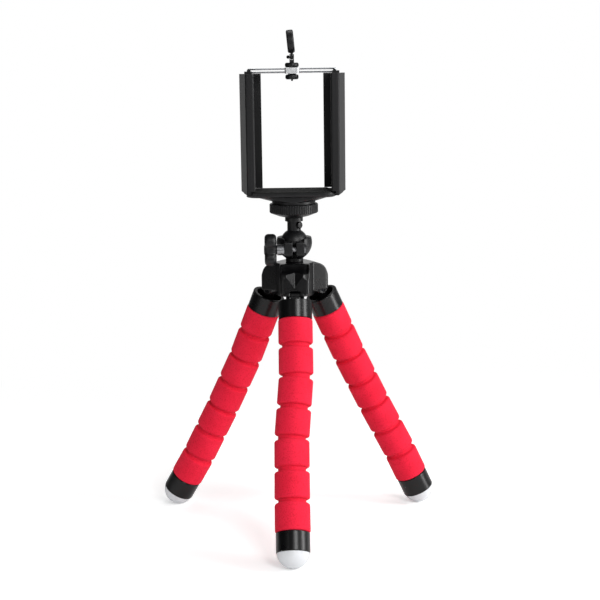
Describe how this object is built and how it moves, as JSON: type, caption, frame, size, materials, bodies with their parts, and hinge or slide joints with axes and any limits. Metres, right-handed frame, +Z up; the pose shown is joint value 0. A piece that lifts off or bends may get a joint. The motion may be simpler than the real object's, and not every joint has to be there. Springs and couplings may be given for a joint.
{
  "type": "phone tripod",
  "caption": "Pocket tripod with bendable foam-covered legs hinged under a moulded crown, a ball head with a clamp knob and a sprung clip that holds a phone.",
  "frame": {"origin": "the middle of the feet's stance, on the floor, below the head", "axes": "+Z up along the head; X across the opening of the clip; -Y to the front, where the single front leg points"},
  "size_m": [0.1548, 0.1195, 0.2673],
  "materials": {
    "black_gloss_plastic": "gloss",
    "black_satin_plastic": "satin",
    "black_soft_pad": "matte",
    "red_foam": "matte",
    "white_rubber": "satin",
    "bright_steel": "polished",
    "dull_steel": "satin",
    "leg_wire": "satin",
    "brass": "satin"
  },
  "bodies": {
    "hub": {"crown": "black_gloss_plastic", "leg_hinge_pins": "dull_steel", "crown_screw": "dull_steel", "ball_housing": "black_gloss_plastic", "clamp_nut": "dull_steel"},
    "clamp_knob": {"thumb_knob": "black_satin_plastic", "clamp_screw": "bright_steel"},
    "ball": {"ball": "black_satin_plastic"},
    "stem": {"ball_stem": "black_satin_plastic", "stem_lug": "black_satin_plastic", "camera_screw": "dull_steel"},
    "locking_disc": {"locking_disc": "black_satin_plastic"},
    "clip": {"clip_base": "black_satin_plastic", "clip_base_pad": "black_soft_pad", "screw_insert": "brass", "jaw_springs": "dull_steel", "link_guide": "black_satin_plastic"},
    "left_jaw": {"left_jaw": "black_satin_plastic", "left_jaw_pad": "black_soft_pad", "left_link_wire": "bright_steel"},
    "right_jaw": {"right_jaw": "black_satin_plastic", "right_jaw_pad": "black_soft_pad", "right_link_wire": "bright_steel"},
    "spindle": {"link_spindle": "black_satin_plastic", "spindle_nut": "black_satin_plastic"},
    "ring": {"lanyard_ring": "black_satin_plastic", "ring_pin": "bright_steel"},
    "front_leg_1": {"front_leg_collar": "black_gloss_plastic", "front_leg_foam_1": "red_foam", "front_leg_core_1": "leg_wire"},
    "front_leg_2": {"front_leg_foam_2": "red_foam", "front_leg_core_2": "leg_wire"},
    "front_leg_3": {"front_leg_foam_3": "red_foam", "front_leg_core_3": "leg_wire"},
    "front_leg_4": {"front_leg_foam_4": "red_foam", "front_leg_core_4": "leg_wire", "front_leg_ferrule": "black_gloss_plastic", "front_foot": "white_rubber"},
    "right_leg_1": {"right_leg_collar": "black_gloss_plastic", "right_leg_foam_1": "red_foam", "right_leg_core_1": "leg_wire"},
    "right_leg_2": {"right_leg_foam_2": "red_foam", "right_leg_core_2": "leg_wire"},
    "right_leg_3": {"right_leg_foam_3": "red_foam", "right_leg_core_3": "leg_wire"},
    "right_leg_4": {"right_leg_foam_4": "red_foam", "right_leg_core_4": "leg_wire", "right_leg_ferrule": "black_gloss_plastic", "right_foot": "white_rubber"},
    "left_leg_1": {"left_leg_collar": "black_gloss_plastic", "left_leg_foam_1": "red_foam", "left_leg_core_1": "leg_wire"},
    "left_leg_2": {"left_leg_foam_2": "red_foam", "left_leg_core_2": "leg_wire"},
    "left_leg_3": {"left_leg_foam_3": "red_foam", "left_leg_core_3": "leg_wire"},
    "left_leg_4": {"left_leg_foam_4": "red_foam", "left_leg_core_4": "leg_wire", "left_leg_ferrule": "black_gloss_plastic", "left_foot": "white_rubber"}
  },
  "joints": [
    {"name": "clamp_knob_turn", "type": "hinge", "parent": "hub", "child": "clamp_knob", "pos_m": [0, 0.01299, 0.1525], "axis": [1, 0, 0], "range_deg": [-180, 180]},
    {"name": "ball_tilt_forward", "type": "hinge", "parent": "hub", "child": "ball", "pos_m": [0, 0.02299, 0.1552], "axis": [1, 0, 0], "range_deg": [-20, 35]},
    {"name": "ball_tilt_sideways", "type": "hinge", "parent": "ball", "child": "stem", "pos_m": [0, 0.02299, 0.1552], "axis": [0, 1, 0], "range_deg": [-20, 20]},
    {"name": "locking_disc_spin", "type": "hinge", "parent": "stem", "child": "locking_disc", "pos_m": [0, 0.02299, 0.1688], "axis": [0, 0, 1], "continuous": true},
    {"name": "clip_swivel", "type": "hinge", "parent": "stem", "child": "clip", "pos_m": [0, 0.02299, 0.1762], "axis": [0, 0, 1], "continuous": true},
    {"name": "left_jaw_slide", "type": "slide", "parent": "clip", "child": "left_jaw", "axis": [-1, 0, 0], "range_m": [0, 0.015], "stiffness_N_per_m": 40, "springref_m": -0.002},
    {"name": "right_jaw_slide", "type": "slide", "parent": "clip", "child": "right_jaw", "axis": [1, 0, 0], "range_m": [0, 0.015], "stiffness_N_per_m": 40, "springref_m": -0.002},
    {"name": "spindle_turn", "type": "hinge", "parent": "clip", "child": "spindle", "pos_m": [0, 0.02299, 0.24775], "axis": [0, 0, 1], "continuous": true},
    {"name": "ring_tilt", "type": "hinge", "parent": "spindle", "child": "ring", "pos_m": [0, 0.02299, 0.2532], "axis": [1, 0, 0], "range_deg": [-70, 70]},
    {"name": "front_leg_spread", "type": "hinge", "parent": "hub", "child": "front_leg_1", "pos_m": [0, 0.00799, 0.1284], "axis": [-1, 0, 0], "range_deg": [-23, 35]},
    {"name": "front_leg_bend_1", "type": "hinge", "parent": "front_leg_1", "child": "front_leg_2", "pos_m": [0, -0.0091, 0.08839], "axis": [0.9966, -0.0343, -0.0744], "range_deg": [-10, 10]},
    {"name": "front_leg_bend_2", "type": "hinge", "parent": "front_leg_2", "child": "front_leg_3", "pos_m": [-0.00267, -0.02268, 0.05888], "axis": [1, 0.0008, -0.0062], "range_deg": [-10, 10]},
    {"name": "front_leg_bend_3", "type": "hinge", "parent": "front_leg_3", "child": "front_leg_4", "pos_m": [-0.00284, -0.03759, 0.02989], "axis": [1, 0.0055, 0.0012], "range_deg": [-10, 10]},
    {"name": "right_leg_spread", "type": "hinge", "parent": "hub", "child": "right_leg_1", "pos_m": [0.01299, 0.03049, 0.1284], "axis": [0.5, -0.866, 0], "range_deg": [-23, 35]},
    {"name": "right_leg_bend_1", "type": "hinge", "parent": "right_leg_1", "child": "right_leg_2", "pos_m": [0.02979, 0.04018, 0.08946], "axis": [-0.4618, 0.8829, -0.0845], "range_deg": [-10, 10]},
    {"name": "right_leg_bend_2", "type": "hinge", "parent": "right_leg_2", "child": "right_leg_3", "pos_m": [0.04372, 0.04469, 0.06034], "axis": [-0.4235, 0.8912, -0.1624], "range_deg": [-10, 10]},
    {"name": "right_leg_bend_3", "type": "hinge", "parent": "right_leg_3", "child": "right_leg_4", "pos_m": [0.05865, 0.04651, 0.03141], "axis": [-0.4376, 0.8894, -0.1324], "range_deg": [-10, 10]},
    {"name": "left_leg_spread", "type": "hinge", "parent": "hub", "child": "left_leg_1", "pos_m": [-0.01299, 0.03049, 0.1284], "axis": [0.5, 0.866, 0], "range_deg": [-23, 35]},
    {"name": "left_leg_bend_1", "type": "hinge", "parent": "left_leg_1", "child": "left_leg_2", "pos_m": [-0.02819, 0.03926, 0.0886], "axis": [-0.4671, -0.881, 0.0755], "range_deg": [-10, 10]},
    {"name": "left_leg_bend_2", "type": "hinge", "parent": "left_leg_2", "child": "left_leg_3", "pos_m": [-0.04166, 0.04389, 0.05927], "axis": [-0.4414, -0.8881, 0.1286], "range_deg": [-10, 10]},
    {"name": "left_leg_bend_3", "type": "hinge", "parent": "left_leg_3", "child": "left_leg_4", "pos_m": [-0.05619, 0.04691, 0.03025], "axis": [-0.4638, -0.8814, 0.0896], "range_deg": [-10, 10]}
  ]
}
